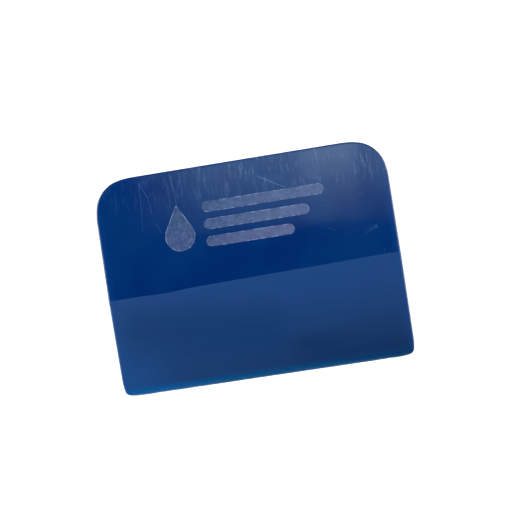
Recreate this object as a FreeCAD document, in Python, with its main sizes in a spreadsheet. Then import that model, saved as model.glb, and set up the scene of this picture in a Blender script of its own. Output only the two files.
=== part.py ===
"""Squeegee applicator for vinyl and paint-protection film: one cast polyurethane blade that lies flat on
its back, with a long bevel down to a rounded working edge, and a printed mark on the grip half of its front.

Frame: +X along the working edge, +Y from the working edge to the grip edge, +Z out of the front face.
The origin is at the middle of the flat back face. All sizes are in millimetres and degrees.
"""

import FreeCAD, Part
import math
import os

import Sketcher

# Driving dimensions: every size in the document is bound to one of these cells.
SIZES = (
    ("blade_length", 120.0, "along the working edge"),
    ("blade_height", 89.0, "from the working edge to the grip edge"),
    ("blade_thickness", 6.0, "of the grip half"),
    ("grip_corner_radius", 13.0, "middle arc of the two large corners"),
    ("grip_ease_radius", 30.0, "arcs that ease those corners into the sides"),
    ("grip_ease_angle", 12.0, "turn of each easing arc"),
    ("tip_corner_radius", 2.6, "middle arc of the two corners at the working edge"),
    ("tip_ease_radius", 28.0, "arcs that ease those corners into the sides"),
    ("tip_ease_angle", 10.0, "turn of each easing arc"),
    ("bevel_length", 41.0, "from the working edge to the crease, at the middle"),
    ("bevel_skew", 1.0, "the crease climbs to the right by this angle, as the bevel is ground by hand"),
    ("bevel_end_thickness", 2.2, "where the bevel would run out over the working edge"),
    ("nose_radius", 5.0, "rounding of the working edge, tangent to the bevel"),
    ("edge_land", 0.8, "height of the flat front of the working edge"),
    ("front_edge_round", 0.6, "rim of the front face"),
    ("back_edge_round", 0.4, "rim of the back face"),
    ("cut_margin", 3.0, "how far the bevel's cutting solid runs past the blade"),
    ("film_thickness", 0.05, "printed ink film"),
    ("mark_middle_x", 0.3, "middle of the printed mark"),
    ("mark_middle_y", 20.5, "middle of the printed mark"),
    ("mark_length", 66.6, "the whole mark, along X"),
    ("mark_height", 18.6, "the whole mark, along Y"),
    ("drop_radius", 6.2, "round belly of the drop"),
    ("drop_tip_radius", 0.5, "rounded tip of the drop"),
    ("bar_gap", 4.0, "between the drop and the bars"),
    ("bar_height", 4.4, "each of the three bars"),
    ("bar_step", 7.0, "each lower bar is shorter than the one above it by this much"),
)

DOC = FreeCAD.newDocument("squeegee_applicator")
SHEET = DOC.addObject("Spreadsheet::Sheet", "sizes")


def fill_sheet():
    """Writes each driving dimension, its alias and what it measures."""
    for row, (alias, value, what) in enumerate(SIZES, start=1):
        SHEET.set(f"A{row}", alias)
        SHEET.set(f"B{row}", str(value))
        SHEET.setAlias(f"B{row}", alias)
        SHEET.set(f"C{row}", what)
    DOC.recompute()


def size(alias):
    """The sheet's value for that alias."""
    return float(getattr(SHEET, alias))


def plane(body, role):
    """The origin plane of a body with that role."""
    return next(f for f in body.Origin.OriginFeatures if f.Role == role)


def new_body(label):
    """An empty body with that label. It holds one solid, so a compound isn't allowed."""
    body = DOC.addObject("PartDesign::Body", label)
    body.Label = label
    body.AllowCompound = False
    return body


def new_sketch(body, name, role, offset_expression=None):
    """A sketch on one of the body's origin planes, moved along the plane's normal by a sheet expression."""
    sketch = body.newObject("Sketcher::SketchObject", name)
    sketch.AttachmentSupport = [(plane(body, role), "")]
    sketch.MapMode = "FlatFace"
    if offset_expression:
        sketch.setExpression("AttachmentOffset.Base.z", offset_expression)
    return sketch


def dimension(sketch, kind, places, value, expression):
    """Adds one dimension to a sketch and binds it to the sheet. The starting value only seeds the solver."""
    index = sketch.addConstraint(Sketcher.Constraint(kind, *places, value))
    sketch.setExpression(f"Constraints[{index}]", expression)


def point(x, y):
    return FreeCAD.Vector(x, y, 0)


def arc_turning(start, heading, radius, turn):
    """An arc that leaves start along heading and turns left by turn degrees. Returns the arc and its end."""
    side = point(-math.sin(heading), math.cos(heading))
    centre = start + side * radius
    first = heading - math.pi / 2
    last = first + math.radians(turn)
    circle = Part.Circle(centre, FreeCAD.Vector(0, 0, 1), radius)
    end = centre + point(math.cos(last), math.sin(last)) * radius
    return Part.ArcOfCircle(circle, first, last), end


def corner_reach(radius, ease_radius, ease_angle):
    """How far along each side an eased corner starts from the sharp corner that it replaces."""
    ease = math.radians(ease_angle)
    eased = ease_radius * (math.sin(ease) + 1 - math.cos(ease))
    return eased + radius * (math.cos(ease) - math.sin(ease))


def outline(body):
    """The blade's outline: four straight sides joined by four eased corners of three arcs each."""
    half_length = size("blade_length") / 2
    half_height = size("blade_height") / 2
    sketch = new_sketch(body, "outline", "XY_Plane")
    corners = (
        ("tip", point(half_length, -half_height)),
        ("grip", point(half_length, half_height)),
        ("grip", point(-half_length, half_height)),
        ("tip", point(-half_length, -half_height)),
    )
    tip_reach = corner_reach(size("tip_corner_radius"), size("tip_ease_radius"), size("tip_ease_angle"))
    here = point(-half_length + tip_reach, -half_height)
    heading = 0.0
    for name, corner in corners:
        radius = size(f"{name}_corner_radius")
        ease_radius = size(f"{name}_ease_radius")
        ease_angle = size(f"{name}_ease_angle")
        along = point(math.cos(heading), math.sin(heading))
        start = corner - along * corner_reach(radius, ease_radius, ease_angle)
        sketch.addGeometry(Part.LineSegment(here, start), False)
        here = start
        for arc_radius, turn in (
            (ease_radius, ease_angle),
            (radius, 90 - 2 * ease_angle),
            (ease_radius, ease_angle),
        ):
            arc, here = arc_turning(here, heading, arc_radius, turn)
            sketch.addGeometry(arc, False)
            heading += math.radians(turn)

    start_of, end_of = 1, 2
    count = len(sketch.Geometry)
    for piece in range(count):
        sketch.addConstraint(Sketcher.Constraint("Tangent", piece, end_of, (piece + 1) % count, start_of))
    tip_line, right_line, grip_line, left_line = range(0, count, 4)
    for line in (tip_line, grip_line):
        sketch.addConstraint(Sketcher.Constraint("Horizontal", line))
    for line in (right_line, left_line):
        sketch.addConstraint(Sketcher.Constraint("Vertical", line))
    half_length_expression = "sizes.blade_length / 2"
    half_height_expression = "sizes.blade_height / 2"
    dimension(sketch, "DistanceY", (tip_line, start_of, -1, 1), half_height, half_height_expression)
    dimension(sketch, "DistanceY", (-1, 1, grip_line, end_of), half_height, half_height_expression)
    dimension(sketch, "DistanceX", (-1, 1, right_line, start_of), half_length, half_length_expression)
    dimension(sketch, "DistanceX", (left_line, start_of, -1, 1), half_length, half_length_expression)
    for line, (name, _) in zip((tip_line, right_line, grip_line, left_line), corners):
        ease_radius = size(f"{name}_ease_radius")
        ease_turn = math.radians(size(f"{name}_ease_angle"))
        for arc in (line + 1, line + 3):
            dimension(sketch, "Radius", (arc,), ease_radius, f"sizes.{name}_ease_radius")
            dimension(sketch, "Angle", (arc,), ease_turn, f"sizes.{name}_ease_angle * 1 deg")
        radius = size(f"{name}_corner_radius")
        dimension(sketch, "Radius", (line + 2,), radius, f"sizes.{name}_corner_radius")
    return sketch


def padded_blank(body):
    """The blade before its bevel is ground: the outline, thickened."""
    pad = body.newObject("PartDesign::Pad", "blank")
    pad.Profile = outline(body)
    pad.setExpression("Length", "sizes.blade_thickness")
    DOC.recompute()
    return pad


def bevel_section(body, name, side):
    """What the bevel removes, as a section across the blade.

    It stands one cut margin beyond the blade's left (-1) or right (1) end. It runs from the crease down the
    bevel, round the nose and out over the working edge's land.
    """
    reach = "(sizes.blade_length / 2 + sizes.cut_margin)"
    half_height = size("blade_height") / 2
    thickness = size("blade_thickness")
    land = size("edge_land")
    radius = size("nose_radius")
    margin = size("cut_margin")
    end_x = size("blade_length") / 2 + margin
    length = size("bevel_length") + side * end_x * math.tan(math.radians(size("bevel_skew")))
    length_expression = f"(sizes.bevel_length + {side} * {reach} * tan(sizes.bevel_skew * 1 deg))"
    slope = math.atan((thickness - size("bevel_end_thickness")) / length)

    crease = point(length - half_height, thickness)
    down = point(-math.cos(slope), -math.sin(slope))
    inward = point(math.sin(slope), -math.cos(slope))
    land_top = point(-half_height, land)
    # The nose's centre lies one radius inside the bevel and one radius from the land's top.
    from_land = crease + inward * radius - land_top
    along = from_land.dot(down)
    run = -along - math.sqrt(along**2 - from_land.dot(from_land) + radius**2)
    nose_start = crease + down * run
    centre = nose_start + inward * radius
    first = math.pi / 2 + slope
    last = math.atan2(land_top.y - centre.y, land_top.x - centre.x)

    sketch = new_sketch(body, name, "YZ_Plane", f"{side} * {reach}")
    outside = point(-half_height - margin, land)
    above_outside = point(-half_height - margin, thickness + margin)
    above_crease = point(crease.x, thickness + margin)
    sketch.addGeometry(Part.LineSegment(crease, nose_start), False)
    nose = Part.Circle(centre, FreeCAD.Vector(0, 0, 1), radius)
    sketch.addGeometry(Part.ArcOfCircle(nose, first, last), False)
    sketch.addGeometry(Part.LineSegment(land_top, outside), False)
    sketch.addGeometry(Part.LineSegment(outside, above_outside), False)
    sketch.addGeometry(Part.LineSegment(above_outside, above_crease), False)
    sketch.addGeometry(Part.LineSegment(above_crease, crease), False)

    bevel, arc, land_line, front_line, top_line, back_line = range(6)
    start_of, end_of = 1, 2
    sketch.addConstraint(Sketcher.Constraint("Tangent", bevel, end_of, arc, start_of))
    for first_line, second_line in ((arc, land_line), (land_line, front_line), (front_line, top_line),
                                    (top_line, back_line), (back_line, bevel)):
        sketch.addConstraint(
            Sketcher.Constraint("Coincident", first_line, end_of, second_line, start_of)
        )
    for line in (land_line, top_line):
        sketch.addConstraint(Sketcher.Constraint("Horizontal", line))
    for line in (front_line, back_line):
        sketch.addConstraint(Sketcher.Constraint("Vertical", line))
    dimension(sketch, "Radius", (arc,), radius, "sizes.nose_radius")
    dimension(sketch, "DistanceX", (land_line, start_of, -1, 1), half_height, "sizes.blade_height / 2")
    dimension(sketch, "DistanceY", (-1, 1, land_line, start_of), land, "sizes.edge_land")
    dimension(sketch, "DistanceY", (-1, 1, bevel, start_of), thickness, "sizes.blade_thickness")
    dimension(sketch, "DistanceX", (land_line, start_of, bevel, start_of), length, length_expression)
    dimension(
        sketch, "Angle", (bevel,), slope - math.pi,
        f"atan((sizes.blade_thickness - sizes.bevel_end_thickness) / {length_expression}) - 180 deg",
    )
    dimension(sketch, "DistanceX", (land_line, end_of, land_line, start_of), margin, "sizes.cut_margin")
    dimension(
        sketch, "DistanceY", (-1, 1, top_line, start_of), thickness + margin,
        "sizes.blade_thickness + sizes.cut_margin",
    )
    return sketch


def grind_bevel(body):
    """The long bevel and the rounded nose, cut by one ruled loft between the sections beyond both ends."""
    before = body.Shape.Volume
    left = bevel_section(body, "bevel_section_left", -1)
    right = bevel_section(body, "bevel_section_right", 1)
    DOC.recompute()
    loft = body.newObject("PartDesign::SubtractiveLoft", "bevel")
    loft.Profile = left
    loft.Sections = [right]
    loft.Ruled = True
    DOC.recompute()
    if body.Shape.Volume > 0.9 * before:
        raise RuntimeError("the bevel removed too little")
    return loft


def rim_edges(shape, at_back):
    """Names of the edges round the back face, or of those round the whole front: grip, bevel and nose."""
    flat = 0.001
    names = []
    for number, edge in enumerate(shape.Edges, start=1):
        box = edge.BoundBox
        upright = max(box.XLength, box.YLength) < flat
        # The crease and the seam above the nose run from side to side inside the front's rim.
        crosses = box.XLength > size("blade_length") - 2 * size("tip_corner_radius")
        if box.ZMax < flat:
            if at_back:
                names.append(f"Edge{number}")
        elif not at_back and not upright and not crosses:
            names.append(f"Edge{number}")
    return names


def round_rim(body, name, at_back, radius_alias):
    """Rounds one of the two rims of the blade, and makes sure that the rounding took something away."""
    before = body.Shape.Volume
    base = body.Tip
    fillet = body.newObject("PartDesign::Fillet", name)
    fillet.Base = (base, rim_edges(base.Shape, at_back))
    fillet.setExpression("Radius", f"sizes.{radius_alias}")
    DOC.recompute()
    if body.Shape.Volume >= before:
        raise RuntimeError(f"{name} removed nothing")


def make_blade():
    """The whole squeegee but its print: cast in one piece, so it is one solid."""
    body = new_body("blade")
    padded_blank(body)
    grind_bevel(body)
    round_rim(body, "front_rim", False, "front_edge_round")
    round_rim(body, "back_rim", True, "back_edge_round")
    return body


def print_film(body, sketch):
    """Thickens an outline on the front face into a film of ink."""
    film = body.newObject("PartDesign::Pad", "film")
    film.Profile = sketch
    film.setExpression("Length", "sizes.film_thickness")
    DOC.recompute()
    return body


def make_drop():
    """A drop with its tip up: a round belly, a small rounded tip and the two straight sides between them."""
    belly_radius = size("drop_radius")
    tip_radius = size("drop_tip_radius")
    rise = size("mark_height") - belly_radius - tip_radius
    belly = point(size("mark_middle_x") - size("mark_length") / 2 + belly_radius,
                  size("mark_middle_y") - size("mark_height") / 2 + belly_radius)
    tip = belly + point(0, rise)
    lean = math.asin((belly_radius - tip_radius) / rise)
    right = point(math.cos(lean), math.sin(lean))
    left = point(-right.x, right.y)

    body = new_body("printed_mark_drop")
    sketch = new_sketch(body, "drop_outline", "XY_Plane", "sizes.blade_thickness")
    axis = FreeCAD.Vector(0, 0, 1)
    belly_circle = Part.Circle(belly, axis, belly_radius)
    tip_circle = Part.Circle(tip, axis, tip_radius)
    sketch.addGeometry(Part.ArcOfCircle(belly_circle, math.pi - lean, 2 * math.pi + lean), False)
    sketch.addGeometry(Part.LineSegment(belly + right * belly_radius, tip + right * tip_radius), False)
    sketch.addGeometry(Part.ArcOfCircle(tip_circle, lean, math.pi - lean), False)
    sketch.addGeometry(Part.LineSegment(tip + left * tip_radius, belly + left * belly_radius), False)

    start_of, end_of, centre_of = 1, 2, 3
    belly_arc, tip_arc = 0, 2
    for piece in range(4):
        sketch.addConstraint(Sketcher.Constraint("Tangent", piece, end_of, (piece + 1) % 4, start_of))
    sketch.addConstraint(Sketcher.Constraint("Vertical", belly_arc, centre_of, tip_arc, centre_of))
    dimension(sketch, "Radius", (belly_arc,), belly_radius, "sizes.drop_radius")
    dimension(sketch, "Radius", (tip_arc,), tip_radius, "sizes.drop_tip_radius")
    dimension(
        sketch, "DistanceX", (-1, 1, belly_arc, centre_of), belly.x,
        "sizes.mark_middle_x - sizes.mark_length / 2 + sizes.drop_radius",
    )
    dimension(
        sketch, "DistanceY", (-1, 1, belly_arc, centre_of), belly.y,
        "sizes.mark_middle_y - sizes.mark_height / 2 + sizes.drop_radius",
    )
    dimension(
        sketch, "DistanceY", (belly_arc, centre_of, tip_arc, centre_of), rise,
        "sizes.mark_height - sizes.drop_radius - sizes.drop_tip_radius",
    )
    return print_film(body, sketch)


def make_bar(label, place):
    """One bar with round ends, beside the drop. Place 0 is the top bar, which is the longest."""
    radius = size("bar_height") / 2
    left_x = size("mark_middle_x") - size("mark_length") / 2 + 2 * size("drop_radius") + size("bar_gap")
    length = size("mark_length") - 2 * size("drop_radius") - size("bar_gap") - place * size("bar_step")
    y = size("mark_middle_y") + (1 - place) * (size("mark_height") - size("bar_height")) / 2
    left = point(left_x + radius, y)
    right = point(left_x + length - radius, y)
    up = point(0, radius)

    body = new_body(label)
    sketch = new_sketch(body, f"bar_{place}_outline", "XY_Plane", "sizes.blade_thickness")
    axis = FreeCAD.Vector(0, 0, 1)
    quarter = math.pi / 2
    sketch.addGeometry(Part.ArcOfCircle(Part.Circle(left, axis, radius), quarter, 3 * quarter), False)
    sketch.addGeometry(Part.LineSegment(left - up, right - up), False)
    sketch.addGeometry(Part.ArcOfCircle(Part.Circle(right, axis, radius), -quarter, quarter), False)
    sketch.addGeometry(Part.LineSegment(right + up, left + up), False)

    start_of, end_of, centre_of = 1, 2, 3
    left_arc, low_line, right_arc = 0, 1, 2
    for piece in range(4):
        sketch.addConstraint(Sketcher.Constraint("Tangent", piece, end_of, (piece + 1) % 4, start_of))
    sketch.addConstraint(Sketcher.Constraint("Horizontal", low_line))
    for arc in (left_arc, right_arc):
        dimension(sketch, "Radius", (arc,), radius, "sizes.bar_height / 2")
    dimension(
        sketch, "DistanceX", (-1, 1, left_arc, centre_of), left.x,
        "sizes.mark_middle_x - sizes.mark_length / 2 + 2 * sizes.drop_radius + sizes.bar_gap"
        " + sizes.bar_height / 2",
    )
    dimension(
        sketch, "DistanceY", (-1, 1, left_arc, centre_of), y,
        f"sizes.mark_middle_y + {1 - place} * (sizes.mark_height - sizes.bar_height) / 2",
    )
    dimension(
        sketch, "DistanceX", (left_arc, centre_of, right_arc, centre_of), length - 2 * radius,
        "sizes.mark_length - 2 * sizes.drop_radius - sizes.bar_gap"
        f" - {place} * sizes.bar_step - sizes.bar_height",
    )
    return print_film(body, sketch)


def check_and_write(bodies):
    """Stops on any failed object or bad shape, and only then writes one STEP file per body."""
    for item in DOC.Objects:
        if "Invalid" in item.State or "Error" in item.State:
            raise RuntimeError(f"{item.Label} failed: {item.State}")
        if item.TypeId == "Sketcher::SketchObject" and not item.FullyConstrained:
            raise RuntimeError(f"{item.Label} isn't fully constrained")
    for body in bodies:
        shape = body.Shape
        if shape.isNull() or not shape.isValid() or len(shape.Solids) != 1:
            raise RuntimeError(f"{body.Label} isn't one valid solid")
    os.makedirs("parts", exist_ok=True)
    for body in bodies:
        body.Shape.exportStep(f"parts/{body.Label}.step")
        print(f"{body.Label}: {body.Shape.Volume:.1f} cubic mm")


fill_sheet()
BODIES = [
    make_blade(),
    make_drop(),
    make_bar("printed_mark_bar_long", 0),
    make_bar("printed_mark_bar_middle", 1),
    make_bar("printed_mark_bar_short", 2),
]
DOC.recompute()
check_and_write(BODIES)
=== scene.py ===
"""Looks of the squeegee applicator: the one-piece urethane blade with its soft rims, ground bevel and worn
edge, the four ink patches of its printed mark, and a plain studio.

Lengths are in metres, except inside the materials, where they are in millimetres. X runs along the working
edge, Y from the working edge to the grip edge, and Z out of the front face.
"""

import math
import random

import bpy
from mathutils import Matrix, Vector, kdtree, noise


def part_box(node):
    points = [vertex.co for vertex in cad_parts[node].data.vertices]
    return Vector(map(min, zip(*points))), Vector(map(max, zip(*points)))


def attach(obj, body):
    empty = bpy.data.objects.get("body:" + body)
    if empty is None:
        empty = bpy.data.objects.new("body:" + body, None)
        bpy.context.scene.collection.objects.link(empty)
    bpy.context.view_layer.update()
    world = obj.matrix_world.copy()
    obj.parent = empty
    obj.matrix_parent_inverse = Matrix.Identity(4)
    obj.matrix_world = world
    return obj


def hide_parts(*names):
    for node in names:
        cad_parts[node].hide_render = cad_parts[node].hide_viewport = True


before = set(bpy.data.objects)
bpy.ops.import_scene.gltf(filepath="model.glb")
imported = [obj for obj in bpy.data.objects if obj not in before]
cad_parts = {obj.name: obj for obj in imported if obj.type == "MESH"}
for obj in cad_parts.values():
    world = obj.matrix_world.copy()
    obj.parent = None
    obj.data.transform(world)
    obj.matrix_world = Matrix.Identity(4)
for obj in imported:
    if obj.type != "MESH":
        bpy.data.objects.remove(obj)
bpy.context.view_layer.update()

MM = 0.001

# The blade, from the frame's boxes and the same driving sizes as the CAD model.
HALF_LENGTH, HALF_HEIGHT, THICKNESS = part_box("blade")[1]
BEVEL_LENGTH = 41.0 * MM
BEVEL_SKEW = math.radians(1.0)
BEVEL_END = 2.2 * MM
NOSE_RADIUS = 5.0 * MM
EDGE_LAND = 0.8 * MM
FRONT_ROUND = 0.6 * MM
BACK_ROUND = 0.4 * MM
# A corner is three arcs: (radius, turn) of each, going round.
TIP_CORNER = ((28.0 * MM, math.radians(10)), (2.6 * MM, math.radians(70)), (28.0 * MM, math.radians(10)))
GRIP_CORNER = ((30.0 * MM, math.radians(12)), (13.0 * MM, math.radians(66)), (30.0 * MM, math.radians(12)))

# How far the real surface strays from the drawing.
CREASE_WAVES = ((0.14 * MM, 55, 3.7), (0.10 * MM, 320, 9.1))  # height, cells per metre and seed of each
CREASE_SAG = 0.45 * MM
CREASE_SAG_X = -36.5 * MM
CREASE_SAG_WIDTH = 7 * MM
FACE_WAVE = 0.03 * MM
FACE_WAVE_FADE = 8 * MM
NICK_SEED = 11
NICK_COUNT = 26
NICK_DEPTH = 0.14 * MM
NICK_WIDTHS = (0.4, 1.3)  # in millimetres
NICK_REACH = 1.0 * MM
NICK_FREE_END = 3 * MM

# How fine the blade's mesh is. A row runs along X, and the rows follow each other from the working edge up.
COLUMNS = 220
ROW_PITCH = 1.0 * MM
CREASE_ROW_GAP = 0.3 * MM
TIP_ARC_STEPS = (5, 10, 6)
GRIP_ARC_STEPS = (10, 16, 10)
RIM_STEPS = 6
WALL_STEPS = 4

# The blade's material slots.
POLISHED, GROUND = 0, 1


# ---------------------------------------------------------------- blade


def corner_reach(corner):
    """How far along each side a corner starts from the sharp corner that it replaces."""
    (ease_radius, ease), (radius, _), _ = corner
    eased = ease_radius * (math.sin(ease) + 1 - math.cos(ease))
    return eased + radius * (math.cos(ease) - math.sin(ease))


def crease_shift(x):
    """How far the crease lies above its place at the middle: a skew, a waver and a sag near its left end."""
    waver = sum(height * noise.noise(Vector((x * cells, seed, 0))) for height, cells, seed in CREASE_WAVES)
    sag = CREASE_SAG * math.exp(-(((x - CREASE_SAG_X) / CREASE_SAG_WIDTH) ** 2))
    return x * math.tan(BEVEL_SKEW) + waver - sag


def crease_at(x):
    """The crease's y."""
    return BEVEL_LENGTH - HALF_HEIGHT + crease_shift(x)


def nose_of(bevel_length):
    """The nose's arc, tangent to a bevel of that length: its centre (y, z), and the y where it starts."""
    slope = math.atan((THICKNESS - BEVEL_END) / bevel_length)
    crease = Vector((bevel_length - HALF_HEIGHT, THICKNESS))
    down = Vector((-math.cos(slope), -math.sin(slope)))
    inward = Vector((math.sin(slope), -math.cos(slope)))
    from_land = crease + inward * NOSE_RADIUS - Vector((-HALF_HEIGHT, EDGE_LAND))
    along = from_land.dot(down)
    run = -along - math.sqrt(along**2 - from_land.length_squared + NOSE_RADIUS**2)
    start = crease + down * run
    return start + inward * NOSE_RADIUS, start.x


def front_height(y, bevel_length):
    """Height of the front face before its rim is rounded: the grip, a bevel of that length and its nose."""
    crease = bevel_length - HALF_HEIGHT
    if y >= crease:
        return THICKNESS
    centre, start = nose_of(bevel_length)
    if y < start:
        return centre.y + math.sqrt(NOSE_RADIUS**2 - (y - centre.x) ** 2)
    return THICKNESS - (crease - y) * (THICKNESS - BEVEL_END) / bevel_length


def face_wave(x, y):
    """The slow unevenness of the cast face. It only goes down, and it dies out towards the outline."""
    edge = min(HALF_LENGTH - abs(x), HALF_HEIGHT - abs(y))
    fade = min(max(edge / FACE_WAVE_FADE, 0.0), 1.0)
    slow = noise.noise(Vector((x * 45, y * 60, 1.3)))
    quick = noise.noise(Vector((x * 110, y * 150, 8.1)))
    return -FACE_WAVE * fade * fade * (0.5 + 0.5 * slow + 0.18 * quick)


def front_surface(x, y):
    """Height of the real front face."""
    return front_height(y, BEVEL_LENGTH + crease_shift(x)) + face_wave(x, y)


def side_rows():
    """The outline's right side, from the working edge to the grip edge, one row of the mesh at a time.

    Each row is (point, outward direction, follow), where follow says how much the row follows the crease.
    """
    here = Vector((HALF_LENGTH - corner_reach(TIP_CORNER), -HALF_HEIGHT))
    heading = 0.0
    rows = [(here.copy(), Vector((0, -1)), 0.0)]

    def turn_through(corner, steps_of_arcs):
        nonlocal here, heading
        for (radius, turn), steps in zip(corner, steps_of_arcs):
            centre = here + Vector((-math.sin(heading), math.cos(heading))) * radius
            for step in range(1, steps + 1):
                angle = heading + turn * step / steps
                outward = Vector((math.sin(angle), -math.cos(angle)))
                rows.append((centre + outward * radius, outward, 0.0))
            heading += turn
            here = rows[-1][0].copy()

    turn_through(TIP_CORNER, TIP_ARC_STEPS)
    crease = BEVEL_LENGTH - HALF_HEIGHT
    low = crease - CREASE_ROW_GAP
    high = crease + CREASE_ROW_GAP
    top = HALF_HEIGHT - corner_reach(GRIP_CORNER)
    below = round((low - here.y) / ROW_PITCH)
    above = round((top - high) / ROW_PITCH)
    right = Vector((1, 0))
    for step in range(1, below + 1):
        part = step / below
        rows.append((Vector((HALF_LENGTH, here.y + (low - here.y) * part)), right, part))
    rows.append((Vector((HALF_LENGTH, crease)), right, 1.0))
    for step in range(above + 1):
        part = step / above
        rows.append((Vector((HALF_LENGTH, high + (top - high) * part)), right, 1.0 - part))
    here = Vector((HALF_LENGTH, top))
    turn_through(GRIP_CORNER, GRIP_ARC_STEPS)
    return rows


def rim_slope(point, outward):
    """How steeply the front face drops towards the outline where the rim's rounding starts, as an angle."""
    probe = 0.01 * MM
    slope = 0.0
    for _ in range(6):
        inset = FRONT_ROUND * (1 - math.sin(slope))
        inner = point - outward * inset
        ahead = inner + outward * probe
        drop = front_height(inner.y, BEVEL_LENGTH) - front_height(ahead.y, BEVEL_LENGTH)
        slope = math.atan2(drop, probe)
    return slope


def nick_list():
    """Small dents along the working edge, as (x, depth, half width)."""
    dice = random.Random(NICK_SEED)
    reach = HALF_LENGTH - corner_reach(TIP_CORNER) - NICK_FREE_END
    return [
        (dice.uniform(-reach, reach), NICK_DEPTH * dice.random() ** 2, dice.uniform(*NICK_WIDTHS) * MM)
        for _ in range(NICK_COUNT)
    ]


def edge_dent(nicks, x, y):
    """How far the nicks push the surface inwards at that place."""
    depth = sum(deepest * math.exp(-(((x - place) / width) ** 2)) for place, deepest, width in nicks)
    return depth * math.exp(-(y + HALF_HEIGHT) / NICK_REACH)


def add_grid(vertices, rows, insets, nicks, height_of):
    """Adds one vertex for each column of each row. Returns their numbers by row."""
    grid = []
    for (point, outward, follow), inset in zip(rows, insets):
        inner = point - outward * inset
        line = []
        for column in range(COLUMNS + 1):
            x = inner.x * (2 * column / COLUMNS - 1)
            y = inner.y + follow * crease_shift(x)
            y += edge_dent(nicks, x, y)
            line.append(len(vertices))
            vertices.append(Vector((x, y, height_of(x, y))))
        grid.append(line)
    return grid


def add_rim_strip(vertices, front_number, back_number, across, slope):
    """Adds the vertices from the front grid round the front rim, down the wall and round the back rim.

    across is the outward direction. Returns the strip's numbers, with its ends on the two grids.
    """
    up = Vector((0, 0, 1))
    start = vertices[front_number]
    back = vertices[back_number]
    centre = start - (across * math.sin(slope) + up * math.cos(slope)) * FRONT_ROUND
    places = []
    for step in range(1, RIM_STEPS + 1):
        angle = slope + (math.pi / 2 - slope) * step / RIM_STEPS
        places.append(centre + (across * math.sin(angle) + up * math.cos(angle)) * FRONT_ROUND)
    wall_top = places[-1]
    foot = Vector((wall_top.x, wall_top.y, BACK_ROUND))
    places += [wall_top.lerp(foot, step / WALL_STEPS) for step in range(1, WALL_STEPS + 1)]
    for step in range(1, RIM_STEPS):
        angle = math.pi / 2 * step / RIM_STEPS
        place = foot.lerp(back, 1 - math.cos(angle))
        places.append(Vector((place.x, place.y, BACK_ROUND * (1 - math.sin(angle)))))
    first = len(vertices)
    vertices.extend(places)
    return [front_number, *range(first, first + len(places)), back_number]


def face_grids(vertices, front_grid, back_grid):
    """The faces of both grids, and the material slot of each."""
    faces = []
    slots = []
    for row in range(len(front_grid) - 1):
        for column in range(COLUMNS):
            a, b, c, d = cell_of(front_grid, row, column)
            faces.append((a, b, c, d))
            middle = (vertices[a] + vertices[c]) / 2
            slots.append(GROUND if middle.y < crease_at(middle.x) else POLISHED)
            a, b, c, d = cell_of(back_grid, row, column)
            faces.append((d, c, b, a))
            slots.append(POLISHED)
    return faces, slots


def cell_of(grid, row, column):
    """The four corners of one cell of a grid, counter-clockwise from above."""
    return grid[row][column], grid[row][column + 1], grid[row + 1][column + 1], grid[row + 1][column]


def face_strips(vertices, strips):
    """The faces between neighbouring strips of the closed loop, and the material slot of each."""
    faces = []
    slots = []
    for here, ahead in zip(strips, strips[1:] + strips[:1]):
        for level in range(len(here) - 1):
            faces.append((here[level], here[level + 1], ahead[level + 1], ahead[level]))
            middle = vertices[here[level]]
            on_bevel = level < RIM_STEPS and middle.y < crease_at(middle.x)
            slots.append(GROUND if on_bevel else POLISHED)
    return faces, slots


def make_blade(materials):
    """The whole blade as one closed mesh: a front and a back grid, joined by strips round the outline."""
    rows = side_rows()
    slopes = [rim_slope(point, outward) for point, outward, _ in rows]
    front_insets = [FRONT_ROUND * (1 - math.sin(slope)) for slope in slopes]
    back_insets = [BACK_ROUND] * len(rows)
    nicks = nick_list()
    vertices = []
    front_grid = add_grid(vertices, rows, front_insets, nicks, front_surface)
    back_grid = add_grid(vertices, rows, back_insets, nicks, lambda x, y: 0.0)

    # The outline's loop, counter-clockwise, as (row, column).
    last_row = len(rows) - 1
    loop = [(0, column) for column in range(COLUMNS)]
    loop += [(row, COLUMNS) for row in range(last_row)]
    loop += [(last_row, column) for column in range(COLUMNS, 0, -1)]
    loop += [(row, 0) for row in range(last_row, 0, -1)]
    strips = []
    for row, column in loop:
        outward = rows[row][1]
        across = Vector((-outward.x if column == 0 else outward.x, outward.y, 0))
        strips.append(
            add_rim_strip(vertices, front_grid[row][column], back_grid[row][column], across, slopes[row])
        )

    faces, slots = face_grids(vertices, front_grid, back_grid)
    strip_faces, strip_slots = face_strips(vertices, strips)
    wall_top = [vertices[strip[RIM_STEPS]] for strip in strips]
    blade = new_piece("urethane_blade", vertices, faces + strip_faces, materials, wall_top)
    blade.data.polygons.foreach_set("material_index", slots + strip_slots)
    blade.data.update()
    return blade


def new_piece(name, vertices, faces, materials, outline):
    """A smooth mesh object, linked to the scene, that knows how far each vertex is from its outline."""
    mesh = bpy.data.meshes.new(name)
    mesh.from_pydata(vertices, [], faces)
    mesh.polygons.foreach_set("use_smooth", [True] * len(faces))
    for material in materials:
        mesh.materials.append(material)
    store_distance(mesh, outline)
    piece = bpy.data.objects.new(name, mesh)
    bpy.context.scene.collection.objects.link(piece)
    return piece


def store_distance(mesh, outline):
    """Gives each vertex its distance to the outline, in plan, as edge_distance in millimetres."""
    tree = kdtree.KDTree(len(outline))
    for number, place in enumerate(outline):
        tree.insert(Vector((place.x, place.y, 0)), number)
    tree.balance()
    values = [tree.find(Vector((v.co.x, v.co.y, 0)))[2] / MM for v in mesh.vertices]
    attribute = mesh.attributes.new("edge_distance", "FLOAT", "POINT")
    attribute.data.foreach_set("value", values)


# ---------------------------------------------------------------- printed mark

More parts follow.
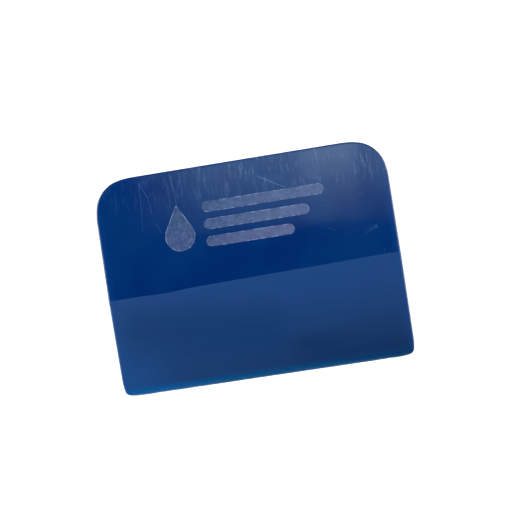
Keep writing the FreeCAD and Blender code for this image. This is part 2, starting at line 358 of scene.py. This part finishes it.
DROP_TIP_RADIUS = 0.5 * MM
FILM_STEP = 0.45 * MM
FILM_FRAY = 0.05 * MM
FRAY_CELLS = 2500  # per metre
FILM_RIM = 0.048 * MM
# The film's section from its outline inwards, as (inset, height over the face): a raised bead, then flat.
FILM_PROFILE = (
    (0.0, -0.02 * MM),
    (0.0, FILM_RIM * 0.5),
    (0.06 * MM, FILM_RIM * 0.9),
    (0.14 * MM, FILM_RIM),
    (0.24 * MM, FILM_RIM * 0.86),
    (0.35 * MM, 0.030 * MM),
)


def drop_outline(low, high):
    """A drop that fills the box of its CAD solid: round belly, straight shoulders and a small round tip."""
    belly_radius = (high.x - low.x) / 2
    middle = (low.x + high.x) / 2
    belly = Vector((middle, low.y + belly_radius))
    tip = Vector((middle, high.y - DROP_TIP_RADIUS))
    lean = math.asin((belly_radius - DROP_TIP_RADIUS) / (tip - belly).length)
    points = arc_points(belly, belly_radius, math.pi - lean, 2 * math.pi + lean)
    points += arc_points(tip, DROP_TIP_RADIUS, lean, math.pi - lean)
    return points


def bar_outline(low, high):
    """A bar with round ends that fills the box of its CAD solid."""
    radius = (high.y - low.y) / 2
    middle = (low.y + high.y) / 2
    quarter = math.pi / 2
    points = arc_points(Vector((low.x + radius, middle)), radius, quarter, 3 * quarter)
    points += arc_points(Vector((high.x - radius, middle)), radius, -quarter, quarter)
    return points


def arc_points(centre, radius, first, last):
    """Points along an arc, from one angle to another."""
    steps = max(6, round(radius * abs(last - first) / FILM_STEP))
    angles = [first + (last - first) * step / steps for step in range(steps + 1)]
    return [centre + Vector((math.cos(a), math.sin(a))) * radius for a in angles]


def spread(points):
    """The same closed outline with its points evenly spaced, one film step apart."""
    lengths = [(b - a).length for a, b in zip(points, points[1:] + points[:1])]
    count = round(sum(lengths) / FILM_STEP)
    pitch = sum(lengths) / count
    even = []
    travelled = 0.0
    for a, b, length in zip(points, points[1:] + points[:1], lengths):
        while len(even) < count and len(even) * pitch <= travelled + length:
            even.append(a.lerp(b, (len(even) * pitch - travelled) / length))
        travelled += length
    return even


def make_film(name, outline, material):
    """One patch of ink on the front face: a ragged outline, a raised bead round it and a thin middle."""
    outline = spread(outline)
    count = len(outline)
    ragged = []
    for number, place in enumerate(outline):
        along = (outline[(number + 1) % count] - outline[number - 1]).normalized()
        inward = Vector((-along.y, along.x))
        uneven = noise.noise(Vector((place.x * FRAY_CELLS, place.y * FRAY_CELLS, 0)))
        fray = FILM_FRAY * (0.5 + 0.5 * uneven)
        ragged.append((place + inward * fray, inward))

    vertices = []
    layers = []
    for inset, rise in FILM_PROFILE:
        first = len(vertices)
        for place, inward in ragged:
            at = place + inward * inset
            vertices.append(Vector((at.x, at.y, THICKNESS + face_wave(at.x, at.y) + rise)))
        layers.append(range(first, first + count))
    faces = []
    for lower, upper in zip(layers, layers[1:]):
        for number in range(count):
            ahead = (number + 1) % count
            faces.append((lower[number], lower[ahead], upper[ahead], upper[number]))
    faces.append(tuple(layers[-1]))
    faces.append(tuple(reversed(layers[0])))
    return new_piece(name, vertices, faces, [material], vertices[:count])


# ---------------------------------------------------------------- materials


class Shader:
    """A node material, with short calls for the nodes that repeat. Its lengths are in millimetres."""

    def __init__(self, name):
        self.material = bpy.data.materials.new(name)
        self.material.use_nodes = True
        self.nodes = self.material.node_tree.nodes
        self.links = self.material.node_tree.links
        self.surface = self.nodes["Principled BSDF"]
        place = self.nodes.new("ShaderNodeTexCoord").outputs["Object"]
        self.place = self.vector("SCALE", place, scale=1 / MM)

    def add(self, kind, inputs, **settings):
        """A new node with those inputs, each a number or another node's output, and those settings."""
        node = self.nodes.new(kind)
        for name, value in settings.items():
            setattr(node, name, value)
        for key, value in inputs.items():
            self.feed(node.inputs[key], value)
        return node

    def feed(self, socket, value):
        if isinstance(value, bpy.types.NodeSocket):
            self.links.new(value, socket)
        else:
            socket.default_value = value

    def vector(self, operation, first, second=None, scale=None):
        inputs = {0: first}
        if second is not None:
            inputs[1] = second
        if scale is not None:
            inputs["Scale"] = scale
        node = self.add("ShaderNodeVectorMath", inputs, operation=operation)
        gives_number = operation in ("DOT_PRODUCT", "LENGTH")
        return node.outputs["Value" if gives_number else "Vector"]

    def math(self, operation, first, second=0.0, clamp=False):
        node = self.add("ShaderNodeMath", {0: first, 1: second}, operation=operation, use_clamp=clamp)
        return node.outputs[0]

    def product(self, *parts):
        result = parts[0]
        for part in parts[1:]:
            result = self.math("MULTIPLY", result, part)
        return result

    def plus(self, *parts, clamp=False):
        result = parts[0]
        for part in parts[1:]:
            result = self.math("ADD", result, part, clamp=clamp)
        return result

    def ease(self, value, low, high, out_low=0.0, out_high=1.0):
        """A smooth step from out_low at low to out_high at high."""
        inputs = {"Value": value, "From Min": low, "From Max": high, "To Min": out_low, "To Max": out_high}
        return self.add("ShaderNodeMapRange", inputs, interpolation_type="SMOOTHSTEP").outputs["Result"]

    def mix(self, factor, first, second):
        """A colour from first, at a factor of 0, to second, at 1."""
        node = self.nodes.new("ShaderNodeMix")
        node.data_type = "RGBA"
        for socket, value in ((0, factor), (6, first), (7, second)):
            self.feed(node.inputs[socket], value)
        return node.outputs[2]

    def noise(self, scale, detail=2.0, place=None, roughness=0.5):
        inputs = {"Vector": place or self.place, "Scale": scale, "Detail": detail, "Roughness": roughness}
        return self.add("ShaderNodeTexNoise", inputs).outputs["Fac"]

    def mapped(self, turn=0.0, scale=(1, 1, 1), shift=(0, 0, 0), place=None):
        """The place, or another vector, scaled, turned about Z and shifted, in that order."""
        inputs = {"Vector": place or self.place, "Location": shift, "Rotation": (0, 0, turn), "Scale": scale}
        return self.add("ShaderNodeMapping", inputs).outputs["Vector"]

    def split(self, vector):
        return self.add("ShaderNodeSeparateXYZ", {"Vector": vector}).outputs

    def attribute(self, name):
        node = self.add("ShaderNodeAttribute", {}, attribute_name=name, attribute_type="GEOMETRY")
        return node.outputs["Fac"]

    def finish(self, colour, roughness, height, strength):
        """Feeds the surface's shader and returns the material. height is the bump's, in millimetres."""
        bump = self.add("ShaderNodeBump", {"Height": height, "Strength": strength, "Distance": MM})
        self.feed(self.surface.inputs["Base Color"], colour)
        self.feed(self.surface.inputs["Roughness"], roughness)
        self.feed(self.surface.inputs["Normal"], bump.outputs["Normal"])
        self.surface.inputs["IOR"].default_value = 1.5
        return self.material

    def streaks(self, turn, pitch, length, keep, seed, half_width, aside=0.0):
        """Fine scratches along Y, turned by an angle. pitch is across them and length along, in millimetres.

        Each scratch is a long thin spot at the middle of one cell of a stretched cell pattern. keep is the
        share of cells that have one. aside moves the whole pattern sideways, for the shaded flanks.
        """
        bend = self.noise(0.06, 1.0, self.mapped(shift=(seed * 7.0, seed * 3.0, 0)))
        bent = self.vector("ADD", self.place, self.vector("SCALE", (0.8, 0, 0), scale=bend))
        bent = self.vector("ADD", bent, (aside, 0, 0))
        place = self.mapped(turn, (1 / pitch, 1 / length, 0), (seed * 13.7, seed * 5.1, 0), bent)
        cells = self.add("ShaderNodeTexVoronoi", {"Vector": place, "Scale": 1.0}, voronoi_dimensions="2D")
        chance, force, _ = self.split(cells.outputs["Color"])
        kept = self.math("GREATER_THAN", chance, 1 - keep)
        strength = self.product(kept, self.ease(force, 0.0, 1.0, 0.25, 1.0))
        return self.product(self.ease(cells.outputs["Distance"], half_width, 0.0), strength)

    def stroke(self, start, end, width, strength):
        """One scratch from start to end, each (x, y). width is from its middle to where it fades out."""
        run = Vector((end[0] - start[0], end[1] - start[1], 0))
        flat = self.vector("MULTIPLY", self.place, (1, 1, 0))
        offset = self.vector("SUBTRACT", flat, (start[0], start[1], 0))
        along = self.vector("DOT_PRODUCT", offset, tuple(run / run.length_squared))
        part = self.math("MULTIPLY", along, 1.0, clamp=True)
        nearest = self.vector("SCALE", tuple(run), scale=part)
        away = self.vector("LENGTH", self.vector("SUBTRACT", offset, nearest))
        return self.ease(away, width, 0.0, 0.0, strength)


def srgb(red, green, blue):
    """A linear colour, with alpha, from 0 to 255 display values."""
    def linear(value):
        value /= 255
        return value / 12.92 if value <= 0.04045 else ((value + 0.055) / 1.055) ** 2.4
    return (linear(red), linear(green), linear(blue), 1.0)


# Handling scratches that stand out on the grip half: start and end, (x, y), then half width and strength.
GRIP_STROKES = (
    ((-40.5, 41.2), (-40.8, 33.5), 0.26, 0.45),
    ((-40.8, 33.5), (-41.8, 22.0), 0.24, 0.35),
    ((-40.5, 41.2), (-37.7, 34.9), 0.28, 0.75),
    ((-37.7, 34.9), (-36.9, 27.9), 0.24, 0.45),
    ((-35.6, 23.6), (-34.2, 20.0), 0.24, 0.45),
    ((-27.8, 43.1), (-26.8, 37.0), 0.26, 0.70),
    ((-26.8, 37.0), (-26.5, 29.3), 0.26, 0.55),
    ((-29.0, 38.3), (-29.1, 29.7), 0.45, 0.30),
    ((-50.9, 39.1), (-51.2, 30.5), 0.24, 0.30),
    ((-47.2, 42.8), (-47.3, 39.4), 0.26, 0.35),
    ((-52.9, 37.5), (-53.1, 35.1), 0.22, 0.25),
    ((-46.2, 27.7), (-46.6, 23.9), 0.24, 0.22),
    ((7.4, 36.8), (17.7, 30.6), 0.26, 0.90),
    ((33.1, 11.2), (35.9, 9.6), 0.24, 0.65),
    ((30.0, 12.5), (31.6, 12.3), 0.22, 0.50),
    ((38.9, 8.0), (40.8, 7.7), 0.22, 0.50),
    ((30.8, 21.1), (35.4, 20.1), 0.20, 0.25),
    ((53.8, -0.4), (53.6, -1.8), 0.35, 0.45),
)

# The field of fine scratches near the grip edge, as the arguments of Shader.streaks: turn, pitch, length,
# share kept, seed and half width. The first three groups have shaded flanks. The last is too thin for them.
SCRATCH_GROUPS = (
    (math.radians(-1.2), 1.10, 22.0, 0.52, 1, 0.15),
    (math.radians(0.4), 0.85, 12.0, 0.50, 2, 0.19),
    (math.radians(-2.2), 1.60, 26.0, 0.45, 3, 0.11),
    (math.radians(2.5), 2.60, 18.0, 0.25, 4, 0.08),
)

# Wider dull smears, given the same way as the strokes.
GRIP_SMEARS = (
    ((44.2, 21.2), (48.6, 22.9), 1.0, 0.50),
    ((47.6, 7.0), (52.4, 8.9), 1.0, 0.60),
    ((49.4, 8.5), (52.0, 9.4), 1.1, 0.55),
)


def painted_edge_glow(shader, body, strength):
    """The body's colour, painted a little brighter over its last 4 mm as the light that gets through the rim.
    """
    rim = shader.ease(shader.attribute("edge_distance"), 4.0, 0.3, 0.0, strength)
    return shader.mix(rim, body, srgb(8, 62, 128))


def fine_field(shader, amount):
    """The fine scratches near the grip edge: their pale cores with faint striae, and their dull flanks."""
    cores = shader.plus(*[shader.streaks(*group) for group in SCRATCH_GROUPS], clamp=True)
    striae = shader.ease(shader.noise(1.0, 3.0, shader.mapped(scale=(0.7, 0.11, 1.0))), 0.47, 0.68)
    pale = shader.plus(cores, shader.product(striae, 0.35))
    flanks = shader.plus(*[shader.streaks(*group, aside=0.3) for group in SCRATCH_GROUPS[:3]], clamp=True)
    smudges = shader.streaks(0.0, 2.4, 9.0, 0.45, 6, 0.28)
    dull = shader.plus(flanks, shader.product(smudges, 0.5))
    return shader.product(pale, amount), shader.product(dull, amount)


def polished_urethane():
    """The cast skin of the grip half, the back and the walls: glossy, dulled by scratches near the top."""
    shader = Shader("urethane_cast_skin")
    x, y, z = shader.split(shader.place)
    edge_distance = shader.attribute("edge_distance")

    # Wear: strongest near the grip edge, patchy, broken up and weaker on the walls; its rise to the right is
    # partly painted glare.
    top = shader.ease(y, 22.0, 36.0)
    patchy = shader.ease(shader.noise(0.12, 3.0), 0.40, 0.58, 0.25, 1.0)
    off_walls = shader.ease(z, 4.4, 5.6, 0.3, 1.0)
    # Part wear, part painted glare: this ramp makes the scratches stronger and greyer to the right.
    side = shader.ease(x, -50.0, 8.0, 0.32, 1.0)
    broken = shader.noise(1.0, 3.0, shader.mapped(scale=(1.1, 0.45, 1.0), shift=(5.0, 9.0, 0.0)))
    broken = shader.ease(broken, 0.38, 0.62, 0.5, 1.55)
    pale, dull = fine_field(shader, shader.product(top, patchy, off_walls, side, broken))

    # A few faint scratches lie all over. The ones that stand out, and the smears, are on the front face.
    front = shader.ease(z, 5.0, 5.8)
    lone = shader.product(shader.streaks(math.radians(-3), 3.1, 24.0, 0.22, 5, 0.07), 0.12)
    strokes = shader.plus(*[shader.stroke(*stroke) for stroke in GRIP_STROKES], clamp=True)
    marked = shader.product(strokes, shader.product(front, 0.8))
    scratches = shader.plus(pale, lone, marked, clamp=True)
    grain = shader.ease(shader.noise(1.2, 4.0), 0.35, 0.7)
    smears = shader.plus(*[shader.stroke(*smear) for smear in GRIP_SMEARS], clamp=True)
    smear = shader.product(smears, shader.product(grain, front))

    # Colour: a slightly cloudy deep blue. Scratches to the right and high up are greyer than the others,
    # partly as painted glare.
    cloud = shader.ease(shader.noise(0.035, 2.0), 0.35, 0.65)
    colour = shader.mix(cloud, srgb(0, 38, 98), srgb(2, 46, 103))
    # Painted light: the rim glow, stronger low down and faint near the grip edge.
    colour = painted_edge_glow(shader, colour, shader.ease(y, 20.0, 36.0, 0.45, 0.1))
    greyer = shader.product(side, shader.ease(y, 12.0, 24.0))
    pale_colour = shader.mix(greyer, srgb(66, 150, 225), srgb(150, 180, 225))
    colour = shader.mix(shader.product(scratches, 0.25), colour, pale_colour)
    colour = shader.mix(shader.product(smear, 0.30), colour, srgb(60, 112, 170))

    rough = shader.plus(
        shader.ease(shader.noise(0.5, 4.0), 0.3, 0.8, 0.05, 0.09),
        shader.product(scratches, 0.05),
        shader.product(dull, 0.30),
        shader.product(smear, 0.04),
        shader.ease(edge_distance, 1.8, 0.3, 0.0, 0.09),
    )
    pores = shader.product(shader.noise(9.0, 2.0), 0.0004)
    height = shader.math("SUBTRACT", pores, shader.product(scratches, 0.001))
    return shader.finish(colour, rough, height, 0.5)


def bevel_colour(shader, x, low):
    """The bevel's colour: paler near the crease, with painted shade as a dark stripe at the left and a dark
    lower right corner.
    """
    # The faint red in these colours is painted reflection of the bevel's veil; the painted shade below takes
    # it out.
    drift = shader.product(shader.noise(0.04, 2.0), 8.0)
    up = shader.ease(shader.plus(low, drift), 7.0, 44.0)
    foot = shader.mix(shader.ease(x, -60.0, -28.0), srgb(8, 60, 120), srgb(10, 46, 97))
    foot = shader.mix(shader.ease(x, -20.0, 32.0), foot, srgb(8, 40, 87))
    colour = shader.mix(up, foot, srgb(17, 57, 115))
    # Painted shade on the left, where the veil's reflection is weaker.
    painted_shade_band = shader.stroke((-48.0, -19.0), (2.0, -26.0), 18.0, 0.85)
    colour = shader.mix(painted_shade_band, colour, srgb(0, 43, 96))
    # Painted shade in the lower right corner, with the painted edge glow over it.
    corner = shader.stroke((18.0, -37.0), (60.0, -40.0), 11.0, 0.9)
    colour = painted_edge_glow(shader, shader.mix(corner, colour, srgb(0, 36, 84)), 0.3)
    brushed = shader.noise(1.0, 4.0, shader.mapped(scale=(0.035, 0.45, 1.0)))
    return shader.mix(shader.ease(brushed, 0.3, 0.7, 0.0, 0.12), colour, srgb(20, 66, 120))


def tip_colour(shader, x, low, body):
    """The body's colour with the thin tip over it, painted as light glowing through it: blue-green and
    brighter to the left, brightest at its very edge, and worn in spots.
    """
    # Painted light: the glow through the thin tip, brighter to the left, where more light falls.
    painted_tip_glow = shader.mix(shader.ease(x, -55.0, 5.0), srgb(4, 92, 158), srgb(0, 77, 128))
    painted_tip_glow = shader.mix(shader.ease(x, 5.0, 55.0), painted_tip_glow, srgb(0, 55, 105))
    colour = shader.mix(shader.ease(low, 4.2, 0.2), body, painted_tip_glow)
    # Painted light: the brightest glow along the very edge.
    colour = shader.mix(shader.ease(low, 1.0, 0.1, 0.0, 0.4), colour, srgb(0, 118, 174))
    specks = shader.add("ShaderNodeTexVoronoi", {"Vector": shader.place, "Scale": 1.1})
    sparse = shader.math("GREATER_THAN", shader.split(specks.outputs["Color"])[0], 0.72)
    spot = shader.product(shader.ease(specks.outputs["Distance"], 0.22, 0.05), sparse)
    worn = shader.product(spot, shader.ease(low, 1.2, 0.1))
    return shader.mix(shader.product(worn, 0.5), colour, srgb(110, 170, 200))


def ground_urethane():
    """The ground bevel and nose: a fine dull surface with grinding lines along the working edge."""
    shader = Shader("urethane_ground_bevel")
    x, y, _ = shader.split(shader.place)
    low = shader.plus(y, HALF_HEIGHT / MM)
    colour = tip_colour(shader, x, low, bevel_colour(shader, x, low))
    lines = shader.noise(1.0, 3.0, shader.mapped(scale=(0.03, 6.0, 1.0)))
    rough = shader.plus(shader.ease(lines, 0.3, 0.7, 0.32, 0.38), shader.ease(low, 1.6, 0.2, 0.0, 0.22))
    shader.surface.inputs["Specular Tint"].default_value = (0.72, 0.98, 1.0, 1.0)
    return shader.finish(colour, rough, shader.product(lines, 0.0006), 0.4)


def mark_ink():
    """Silver-lavender ink: mottled and speckled, paler to the right, with pinholes and a painted highlight
    along its broken bead.
    """
    shader = Shader("silver_lavender_ink")
    x, y, _ = shader.split(shader.place)

    # The tone is warmer low down and to the right.
    coolness = shader.plus(y, shader.product(shader.noise(0.16, 2.0), 14.0))
    coolness = shader.math("SUBTRACT", coolness, shader.product(x, 0.15))
    colour = shader.mix(shader.ease(coolness, 18.0, 30.0), srgb(46, 54, 104), srgb(22, 55, 100))
    mottle = shader.ease(shader.noise(0.6, 3.0, shader.mapped(shift=(11, 4, 0))), 0.38, 0.62)
    colour = shader.mix(shader.product(mottle, 0.6), colour, srgb(50, 79, 126))
    speckle = shader.ease(shader.noise(2.2, 3.0, roughness=0.75), 0.50, 0.68)
    colour = shader.mix(shader.product(speckle, 0.70), colour, srgb(96, 111, 155))
    colour = shader.mix(shader.ease(x, -30.0, 20.0, 0.0, 0.12), colour, srgb(150, 166, 204))
    holes = shader.ease(shader.noise(1.9, 3.0, shader.mapped(shift=(31, 7, 0)), 0.75), 0.62, 0.70)
    colour = shader.mix(shader.product(holes, 0.8), colour, srgb(10, 44, 98))

    # Painted highlight: the raised bead catching light, in broken stretches.
    bead = shader.ease(shader.attribute("edge_distance"), 0.40, 0.12)
    broken = shader.ease(shader.noise(0.6, 3.0), 0.46, 0.60)
    glint = shader.product(bead, broken, 0.6)
    colour = shader.mix(glint, colour, srgb(150, 166, 204))
    rough = shader.ease(speckle, 0.0, 1.0, 0.38, 0.55)
    return shader.finish(colour, rough, shader.product(speckle, 0.006), 0.5)


# ---------------------------------------------------------------- studio


CAMERA_PLACE = Vector((0.0240, -0.0071, 0.369))
CAMERA_RIGHT = Vector((0.9861, -0.1530, -0.0642))
CAMERA_BACK = Vector((0.0599, -0.0324, 0.9977))
CAMERA_LENS = 63.3
CAMERA_SENSOR = 36.0
FLOOR_HALF = 1.3
FLOOR_ALBEDO = 0.92
FLOOR_LIFT = 0.42  # light of its own, for the camera only, so that the floor shows as white
LIGHT_DISTANCE = 1.5
KEY_HEIGHT = 1.3
GLARE_HEIGHT = 0.294
GLARE_ROLL = -5.0
GLARE_TILT_Y = 9.54
WHITE = (1, 1, 1, 1)


def stand(right, up, out, place):
    """A matrix that puts an object at a place, with its X, Y and Z along right, up and out."""
    return Matrix.Translation(place) @ Matrix((right, up, out)).transposed().to_4x4()


def make_camera():
    """Nearly straight above the blade, turned so that the working edge rises to the right."""
    right = CAMERA_RIGHT.normalized()
    back = (CAMERA_BACK - right * CAMERA_BACK.dot(right)).normalized()
    data = bpy.data.cameras.new("camera")
    data.lens = CAMERA_LENS
    data.sensor_width = CAMERA_SENSOR
    data.clip_start = 0.01
    camera = bpy.data.objects.new("camera", data)
    camera.matrix_world = stand(right, back.cross(right), back, CAMERA_PLACE)
    bpy.context.scene.collection.objects.link(camera)
    bpy.context.scene.camera = camera


def make_floor():
    """A plain pale floor under the blade."""
    mesh = bpy.data.meshes.new("floor")
    corners = [(x * FLOOR_HALF, y * FLOOR_HALF, 0) for x, y in ((-1, -1), (1, -1), (1, 1), (-1, 1))]
    mesh.from_pydata(corners, [], [(0, 1, 2, 3)])
    floor = bpy.data.objects.new("floor", mesh)
    bpy.context.scene.collection.objects.link(floor)
    material = bpy.data.materials.new("floor_white")
    material.use_nodes = True
    nodes = material.node_tree.nodes
    links = material.node_tree.links
    surface = nodes["Principled BSDF"]
    surface.inputs["Base Color"].default_value = (FLOOR_ALBEDO, FLOOR_ALBEDO, FLOOR_ALBEDO, 1)
    surface.inputs["Roughness"].default_value = 0.9
    surface.inputs["Specular IOR Level"].default_value = 0.1
    surface.inputs["Emission Color"].default_value = WHITE
    seen = nodes.new("ShaderNodeLightPath")
    lift = nodes.new("ShaderNodeMath")
    lift.operation = "MULTIPLY"
    lift.inputs[1].default_value = FLOOR_LIFT
    links.new(seen.outputs["Is Camera Ray"], lift.inputs[0])
    links.new(lift.outputs[0], surface.inputs["Emission Strength"])
    mesh.materials.append(material)


def soft_light(name, tilts, width, height, power, colour=(1, 1, 1), roll=0.0):
    """A rectangular light that faces the blade's middle.

    The tilts are its angles from straight up, towards +X and +Y, and roll turns it about its own axis, all in
    degrees.
    """
    towards_x, towards_y = (math.tan(math.radians(tilt)) for tilt in tilts)
    out = Vector((towards_x, towards_y, 1)).normalized()
    right = Vector((0, 1, 0)).cross(out).normalized()
    data = bpy.data.lights.new(name, "AREA")
    data.shape = "RECTANGLE"
    data.size = width
    data.size_y = height
    data.energy = power
    data.color = colour
    light = bpy.data.objects.new(name, data)
    turn = Matrix.Rotation(math.radians(roll), 4, "Z")
    light.matrix_world = stand(right, out.cross(right), out, out * LIGHT_DISTANCE) @ turn
    bpy.context.scene.collection.objects.link(light)
    return data


def fade_light(data, across, upwards, curve):
    """Fades a light to nothing at its left side and to a fifth at its lower side.

    It has full strength from the shares across and upwards of its size on. curve bends the upward ramp.
    """
    low_gain = 0.2
    data.use_nodes = True
    nodes = data.node_tree.nodes
    links = data.node_tree.links
    place = nodes.new("ShaderNodeNewGeometry")
    split = nodes.new("ShaderNodeSeparateXYZ")
    links.new(place.outputs["Parametric"], split.inputs[0])

    def ramp(axis, full):
        node = nodes.new("ShaderNodeMapRange")
        node.inputs["From Max"].default_value = full
        links.new(split.outputs[axis], node.inputs["Value"])
        return node.outputs["Result"]

    power = nodes.new("ShaderNodeMath")
    power.operation = "POWER"
    links.new(ramp("Y", upwards), power.inputs[0])
    power.inputs[1].default_value = curve
    rise = nodes.new("ShaderNodeMath")
    rise.operation = "MULTIPLY_ADD"
    links.new(power.outputs[0], rise.inputs[0])
    rise.inputs[1].default_value = 1 - low_gain
    rise.inputs[2].default_value = low_gain
    strength = nodes.new("ShaderNodeMath")
    strength.operation = "MULTIPLY"
    links.new(rise.outputs[0], strength.inputs[0])
    links.new(ramp("X", across), strength.inputs[1])
    links.new(strength.outputs[0], nodes["Emission"].inputs["Strength"])


def make_world():
    """Pale towards the horizon, dark overhead and dim in front, like an open tent. It shows as white."""
    world = bpy.data.worlds.new("studio")
    bpy.context.scene.world = world
    world.use_nodes = True
    nodes = world.node_tree.nodes
    links = world.node_tree.links
    nodes.clear()
    place = nodes.new("ShaderNodeTexCoord")
    split = nodes.new("ShaderNodeSeparateXYZ")
    links.new(place.outputs["Generated"], split.inputs[0])

    def ease(socket, low, high, out_low, out_high):
        node = nodes.new("ShaderNodeMapRange")
        node.interpolation_type = "SMOOTHSTEP"
        links.new(split.outputs[socket], node.inputs["Value"])
        limits = (("From Min", low), ("From Max", high), ("To Min", out_low), ("To Max", out_high))
        for name, value in limits:
            node.inputs[name].default_value = value
        return node.outputs["Result"]

    pale = nodes.new("ShaderNodeMath")
    pale.operation = "MULTIPLY"
    links.new(ease("Z", 0.93, 0.35, 0.004, 0.30), pale.inputs[0])
    links.new(ease("Y", -0.75, 0.0, 0.15, 1.0), pale.inputs[1])
    tent = nodes.new("ShaderNodeBackground")
    tent.inputs["Color"].default_value = (0.68, 0.80, 0.82, 1)
    links.new(pale.outputs[0], tent.inputs["Strength"])
    plain = nodes.new("ShaderNodeBackground")
    plain.inputs["Color"].default_value = WHITE
    path = nodes.new("ShaderNodeLightPath")
    mix = nodes.new("ShaderNodeMixShader")
    links.new(path.outputs["Is Camera Ray"], mix.inputs[0])
    links.new(tent.outputs[0], mix.inputs[1])
    links.new(plain.outputs[0], mix.inputs[2])
    output = nodes.new("ShaderNodeOutputWorld")
    links.new(mix.outputs[0], output.inputs["Surface"])


def make_studio():
    """The camera, floor, tent and five lights: a key each side, and three that the front face mirrors."""
    make_camera()
    make_floor()
    make_world()
    soft_light("key_left", (-49, 12), 0.70, KEY_HEIGHT, 21.8)
    soft_light("key_right", (45, 12), 0.75, KEY_HEIGHT, 20.2)
    glare = soft_light(
        "glare", (0.2, GLARE_TILT_Y), 0.68, GLARE_HEIGHT, 1.06, (0.61, 0.89, 1.0), GLARE_ROLL
    )
    fade_light(glare, 0.27, 0.42, 1.4)
    glare_right = soft_light(
        "glare_right", (3.24, GLARE_TILT_Y), 0.13, GLARE_HEIGHT, 0.205, (0.64, 0.88, 1.0), GLARE_ROLL
    )
    fade_light(glare_right, 0.2, 0.42, 2.9)
    soft_light("bevel_veil", (-8.5, -12.0), 0.96, 0.26, 0.34, (0.48, 0.89, 1.0), 23.0)
    bpy.context.scene.view_settings.view_transform = "Standard"


make_studio()

blade_piece = make_blade([polished_urethane(), ground_urethane()])
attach(blade_piece, "root")
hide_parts("blade")

ink = mark_ink()
outline_makers = {
    "printed_mark_drop": drop_outline,
    "printed_mark_bar_long": bar_outline,
    "printed_mark_bar_middle": bar_outline,
    "printed_mark_bar_short": bar_outline,
}
for node, outline_of in outline_makers.items():
    film_piece = make_film(node.replace("printed_mark", "ink"), outline_of(*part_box(node)), ink)
    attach(film_piece, "root")
    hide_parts(node)

bpy.context.view_layer.update()
